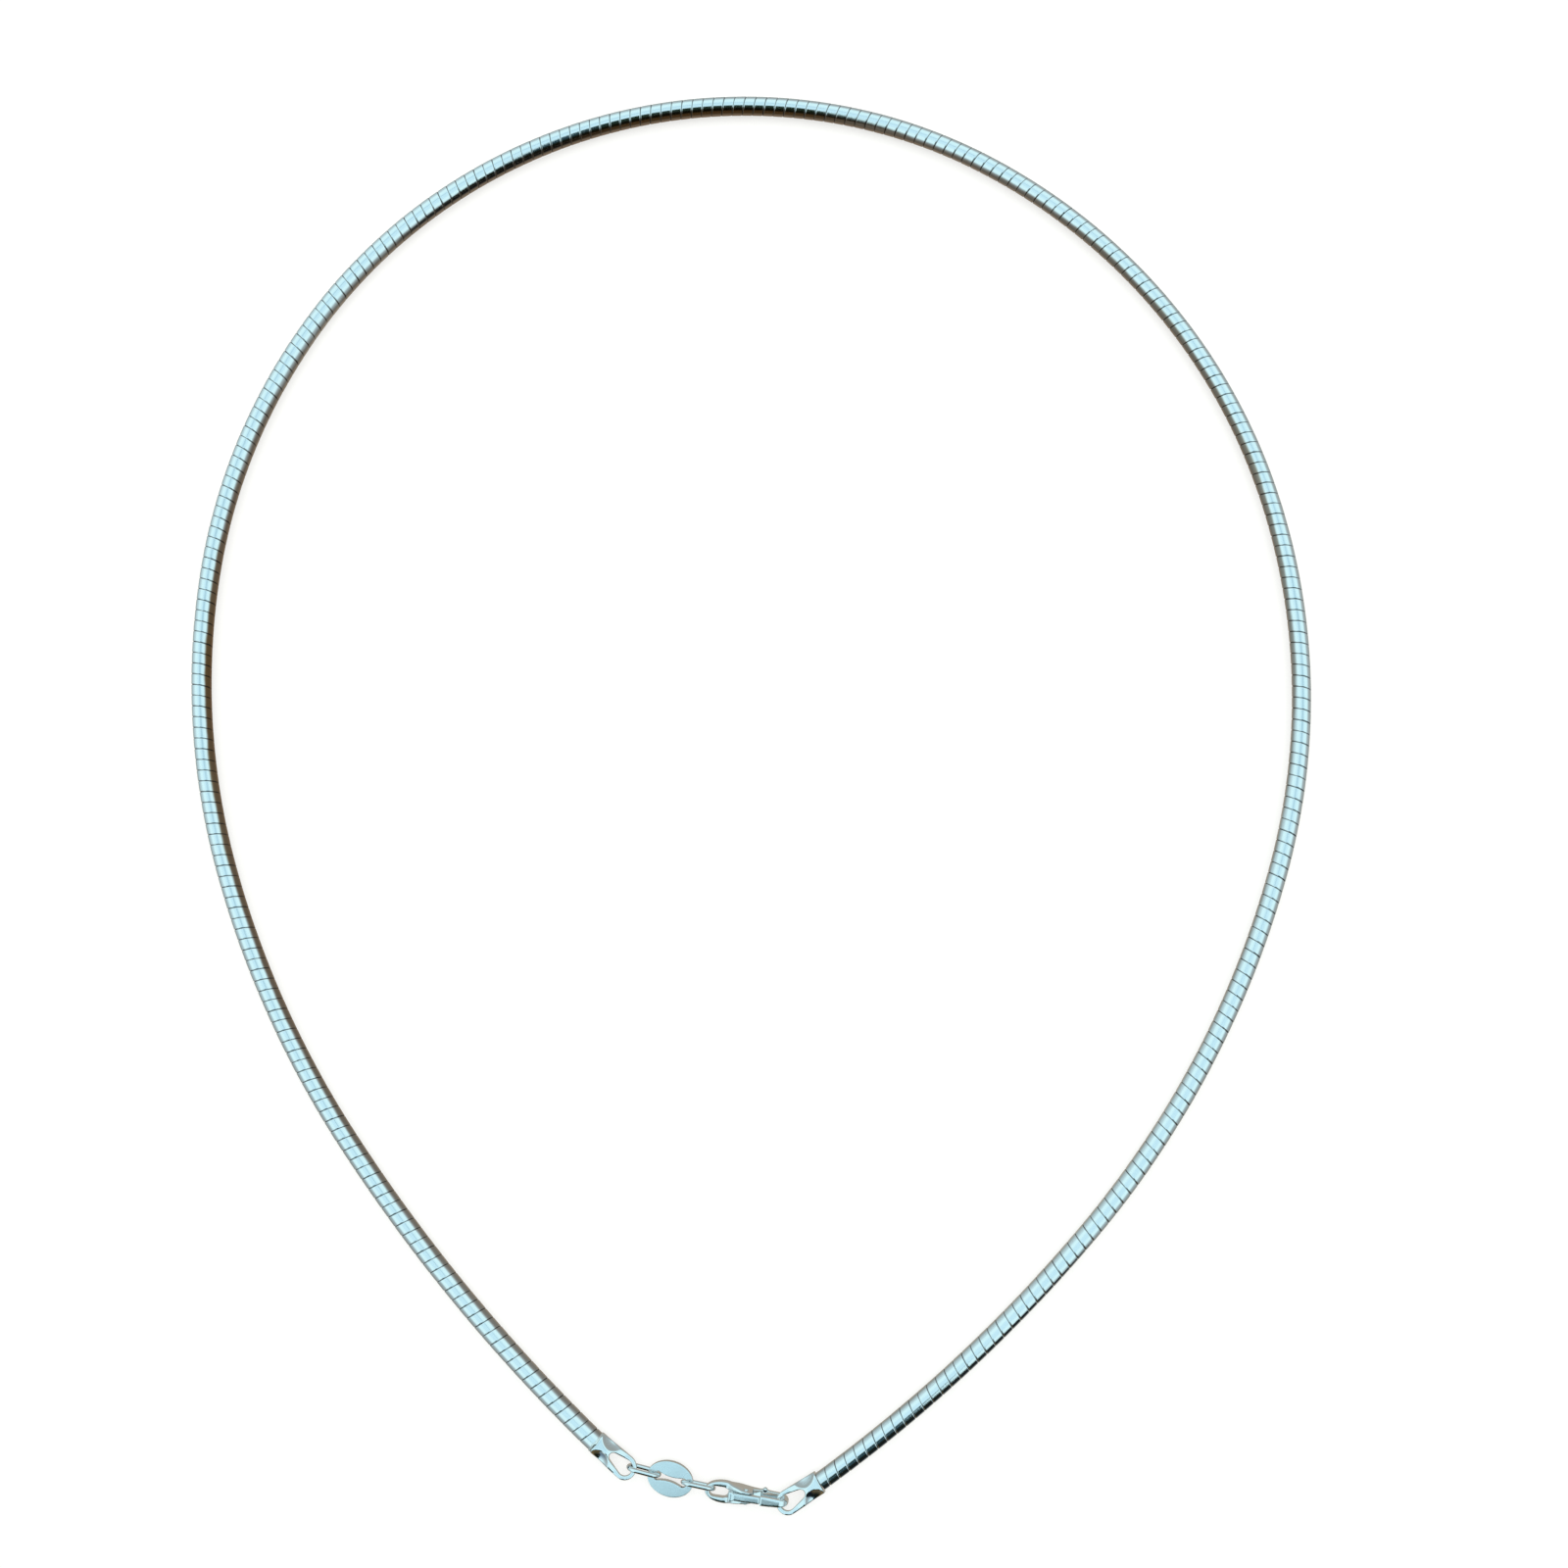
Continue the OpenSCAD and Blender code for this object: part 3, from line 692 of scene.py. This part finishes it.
class NECKLACE_OT_links(bpy.types.Operator):
    """Bend the two wire links and cast the oval one"""

    bl_idname = "necklace.links"
    bl_label = "Make links"

    def execute(self, context):
        colours = context.scene.necklace_silver
        wire = cast_silver("wire_silver", tuple(colours.bright), grain=0.1, polish=0.09)
        path = self.wire_path()
        for node, name, heading, lean in WIRE_LINKS:
            low, high = (Vector(corner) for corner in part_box(node))
            turn = Matrix.Rotation(math.radians(heading), 4, "Z")
            turn = turn @ Matrix.Rotation(math.radians(lean), 4, "X")
            place = Matrix.Translation((low + high) / 2) @ turn
            points = [place @ (Vector(point) * MM) for point in path]
            piece = tube_ring(name, points, WIRE_DIAMETER / 2 * MM)
            mark_hollows(piece)
            dress(piece, wire, "necklace", "wire_silver", node)
        satin = cast_silver("satin_silver", tuple(colours.satin), grain=0.3, polish=0.28)
        piece = cast_from("oval_link", "slotted_oval", **OVAL_CASTING)
        level_face(piece, rim=OVAL_RIM * MM, share=0.2, tilt=0.05)
        mark_hollows(piece)
        dress(piece, satin, "necklace", "satin_silver", "oval_link")
        return {"FINISHED"}

    def wire_path(self):
        """Centreline of a wire link in millimetres, upright and round its middle."""
        bend = (LINK_HEIGHT - WIRE_DIAMETER) / 2
        straight = LINK_REACH / 2 - bend
        path = []
        for end in (1, -1):
            for step in range(LINK_BEND_STEPS + 1):
                a = math.radians(-90 + 180 * step / LINK_BEND_STEPS)
                path.append((end * (straight + bend * math.cos(a)), 0, end * bend * math.sin(a)))
        return path


class NECKLACE_OT_clasp(bpy.types.Operator):
    """Cast the clasp's body and lever, and set its rivet"""

    bl_idname = "necklace.clasp"
    bl_label = "Make clasp"

    def execute(self, context):
        colours = context.scene.necklace_silver
        body = cast_silver("clasp_silver", tuple(colours.bright), grain=0.2, polish=0.11)
        piece = cast_from("clasp_body", "clasp_casting", **CLASP_CASTING)
        low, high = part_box("clasp_pin")
        middle = [(low[axis] + high[axis]) / 2 for axis in (0, 1)]
        turn = math.radians(CLASP_HEADING)
        across = (-math.sin(turn), math.cos(turn))
        round_flanks(piece, middle, across, inner=CLASP_CORE * MM, share=0.6)
        mark_hollows(piece)
        dress(piece, body, "necklace", "cast_silver", "clasp_body")
        lever = cast_silver("lever_silver", tuple(colours.satin), grain=0.3, polish=0.2)
        piece = cast_from("clasp_lever", "lever", **LEVER_CASTING)
        mark_hollows(piece)
        dress(piece, lever, "lever", "satin_silver", "clasp_lever")
        piece = cast_from("clasp_pin", "rivet", **RIVET_CASTING)
        mark_hollows(piece)
        dress(piece, body, "necklace", "cast_silver", "clasp_pin")
        return {"FINISHED"}


class NECKLACE_OT_stage(bpy.types.Operator):
    """Lay the pale floor, set the soft light and hang the camera"""

    bl_idname = "necklace.stage"
    bl_label = "Set stage"

    def execute(self, context):
        settings = context.scene.necklace_stage
        self.lay_floor(settings)
        self.hang_backdrop(settings)
        self.set_light(settings)
        self.set_surroundings(context.scene)
        self.hang_camera(context.scene, settings)
        context.scene.view_settings.view_transform = "Standard"
        return {"FINISHED"}

    def lay_floor(self, settings):
        half = settings.floor_width / 2
        corners = ((-half, -half), (half, -half), (half, half), (-half, half))
        floor = mesh_object("floor", [(x, y, -FLOOR_DROP * MM) for x, y in corners], [(0, 1, 2, 3)])
        material, nodes = new_material("pale_floor")
        cloud = nodes.noise(nodes.place(), scale=9.0, detail=2.0)
        pale = tuple(settings.floor_colour)
        colour = nodes.mix(nodes.ramp(cloud, 0.3, 0.7), pale, tuple(0.985 * value for value in pale))
        sheet = nodes.add(
            "ShaderNodeBsdfPrincipled",
            {"Base Color": colour, "Roughness": 0.9, "Emission Color": FLOOR_LIGHT,
             "Emission Strength": settings.floor_glow})
        nodes.add("ShaderNodeOutputMaterial", {"Surface": sheet.outputs["BSDF"]})
        floor.data.materials.append(material)
        floor.visible_glossy = False

    def hang_backdrop(self, settings):
        """A plain pale dome behind the floor. It stays out of the reflections and gives no light."""
        radius = DOME_SHARE * settings.floor_width
        points, faces = [], []
        for ring in range(DOME_RINGS + 1):
            height = math.radians(90 * ring / DOME_RINGS)
            for step in range(DOME_SIDES):
                a = 2 * math.pi * step / DOME_SIDES
                level = radius * math.cos(height)
                points.append((level * math.cos(a), level * math.sin(a), radius * math.sin(height)))
                if ring < DOME_RINGS:
                    after = (step + 1) % DOME_SIDES
                    low, high = ring * DOME_SIDES, (ring + 1) * DOME_SIDES
                    faces.append((low + step, low + after, high + after, high + step))
        dome = mesh_object("backdrop", points, faces)
        material, nodes = new_material("pale_backdrop")
        cloud = nodes.ramp(nodes.noise(nodes.place(), scale=0.8, detail=2.0), 0.3, 0.7)
        colour = nodes.mix(cloud, DOME_PALE, DOME_DIM)
        paper = nodes.add(
            "ShaderNodeBsdfPrincipled",
            {"Base Color": (0.0, 0.0, 0.0, 1.0), "Roughness": 1.0, "Emission Color": colour,
             "Emission Strength": 1.0})
        nodes.add("ShaderNodeOutputMaterial", {"Surface": paper.outputs["BSDF"]})
        dome.data.materials.append(material)
        dome.visible_glossy = False
        dome.visible_diffuse = False
        dome.visible_shadow = False

    def set_light(self, settings):
        data = bpy.data.lights.new("soft_overhead", "AREA")
        data.shape = "SQUARE"
        data.size = LIGHT_SIZE
        data.energy = settings.key_power
        data.color = LIGHT_COLOUR
        light = bpy.data.objects.new("soft_overhead", data)
        bpy.context.scene.collection.objects.link(light)
        light.location = LIGHT_PLACE
        light.rotation_euler = (-light.location).to_track_quat("-Z", "Y").to_euler()
        light.visible_glossy = False

    def set_surroundings(self, scene):
        """What the polished silver reflects: a bright sky, a grey and khaki horizon and one dark side."""
        world = bpy.data.worlds.new("studio")
        world.use_nodes = True
        nodes = Nodes(world.node_tree)
        direction = nodes.add("ShaderNodeTexCoord").outputs["Generated"]
        ray = nodes.add("ShaderNodeSeparateXYZ", {"Vector": direction})
        x, y, z = (ray.outputs[axis] for axis in "XYZ")
        height = nodes.math("MULTIPLY", nodes.math("ARCSINE", z), 180 / math.pi)
        bearing = nodes.math("MULTIPLY", nodes.math("ARCTAN2", y, x), 180 / math.pi)
        share, dark = self.dark_side(nodes, height, bearing)
        light = nodes.mix(share, self.bright_side(nodes, height, x, y, z), dark)
        background = nodes.add("ShaderNodeBackground", {"Color": light, "Strength": 1.0})
        nodes.add("ShaderNodeOutputWorld", {"Surface": background.outputs["Background"]})
        scene.world = world

    def bright_side(self, nodes, height, x, y, z):
        """Table, horizon and sky, with a dim bar overhead."""
        left_side = nodes.ramp(x, *LEFT_SIDE)
        front_side = nodes.ramp(y, *FRONT_SIDE)
        ground = nodes.mix(front_side, nodes.mix(left_side, GROUND, GROUND_LEFT), GROUND_FRONT)
        horizon = nodes.mix(front_side, nodes.mix(left_side, HORIZON, HORIZON_LEFT), HORIZON_FRONT)
        ground = nodes.mix(nodes.ramp(height, *TABLE_HEIGHTS), TABLE, ground)
        low = nodes.mix(nodes.ramp(height, *HORIZON_HEIGHTS), ground, horizon)
        sky = nodes.mix(nodes.ramp(height, *SKY_HEIGHTS), low, SKY)
        sky = nodes.mix(nodes.ramp(height, *ZENITH_HEIGHTS), sky, ZENITH)
        across = nodes.math("ABSOLUTE", nodes.math("SUBTRACT", x, BAR_MIDDLE[0]))
        along = nodes.math("ABSOLUTE", nodes.math("SUBTRACT", y, BAR_MIDDLE[1]))
        bar = nodes.math(
            "MULTIPLY", nodes.ramp(along, *BAR_WIDTH, BAR_STRENGTH, 0.0),
            nodes.ramp(across, *BAR_LENGTH, 1.0, 0.0))
        bar = nodes.math("MULTIPLY", bar, nodes.ramp(z, *BAR_RISE))
        return nodes.mix(bar, sky, BAR)

    def dark_side(self, nodes, height, bearing):
        """Where the dark side stands, and its colours: brown at the foot, black, then green or navy."""
        left_edge = nodes.math(
            "ADD", bearing, nodes.ramp(height, *DARK_LEFT_STEP_HEIGHTS, 0.0, DARK_LEFT_STEP))
        slant = nodes.math("MULTIPLY", nodes.math("MAXIMUM", height, 0.0), DARK_RIGHT_SLANT)
        right_edge = nodes.math("ADD", bearing, slant)
        share = nodes.math(
            "MULTIPLY", nodes.ramp(left_edge, *DARK_LEFT_EDGE),
            nodes.ramp(right_edge, *DARK_RIGHT_EDGE, 1.0, 0.0))
        share = nodes.math("MULTIPLY", share, nodes.ramp(height, *DARK_TOP, 1.0, 0.0))
        share = nodes.math("MULTIPLY", share, nodes.ramp(height, *DARK_FOOT))
        navy = nodes.ramp(bearing, *NAVY_BEARINGS)
        dark = nodes.mix(nodes.ramp(height, *BROWN_HEIGHTS), nodes.mix(navy, BROWN, BLUE_BLACK), BLACK)
        deep_from = nodes.math("MULTIPLY_ADD", navy, DEEP_FROM_NAVY, DEEP_FROM_HEIGHT)
        deep = nodes.ramp(height, deep_from, DEEP_TO_HEIGHT)
        return share, nodes.mix(deep, dark, nodes.mix(navy, DEEP_GREEN, DEEP_NAVY))

    def hang_camera(self, scene, settings):
        data = bpy.data.cameras.new("camera")
        data.sensor_fit = "HORIZONTAL"
        data.sensor_width = 36.0
        data.lens = settings.lens
        data.clip_start = 0.002
        data.clip_end = 20.0
        camera = bpy.data.objects.new("camera", data)
        scene.collection.objects.link(camera)
        right = Vector(CAMERA_RIGHT).normalized()
        up = Vector(CAMERA_UP).normalized()
        back = right.cross(up).normalized()
        turn = Matrix((right, up, back)).transposed().to_4x4()
        camera.matrix_world = Matrix.Translation(Vector(settings.camera_place)) @ turn
        scene.camera = camera


class NECKLACE_PT_panel(bpy.types.Panel):
    """Lists the pieces of the necklace and their sizes"""

    bl_label = "Necklace"
    bl_idname = "NECKLACE_PT_panel"
    bl_space_type = "VIEW_3D"
    bl_region_type = "UI"
    bl_category = "Necklace"

    def draw(self, context):
        scene = context.scene
        for group in (scene.necklace_collar, scene.necklace_silver, scene.necklace_stage):
            box = self.layout.box()
            for name in group.__annotations__:
                box.prop(group, name)
        for operator in OPERATORS:
            self.layout.operator(operator.bl_idname)


GROUPS = (
    ("necklace_collar", CollarSizes),
    ("necklace_silver", SilverColours),
    ("necklace_stage", StageSettings),
)
OPERATORS = (
    NECKLACE_OT_stage, NECKLACE_OT_collar, NECKLACE_OT_end_caps, NECKLACE_OT_links, NECKLACE_OT_clasp,
)


def register():
    for name, group in GROUPS:
        bpy.utils.register_class(group)
        setattr(bpy.types.Scene, name, bpy.props.PointerProperty(type=group))
    for cls in (*OPERATORS, NECKLACE_PT_panel):
        bpy.utils.register_class(cls)


def unregister():
    for cls in reversed((*OPERATORS, NECKLACE_PT_panel)):
        bpy.utils.unregister_class(cls)
    for name, group in reversed(GROUPS):
        delattr(bpy.types.Scene, name)
        bpy.utils.unregister_class(group)


def main():
    register()
    bpy.ops.necklace.stage()
    bpy.ops.necklace.collar()
    bpy.ops.necklace.end_caps()
    bpy.ops.necklace.links()
    bpy.ops.necklace.clasp()


if __name__ == "__main__":
    main()
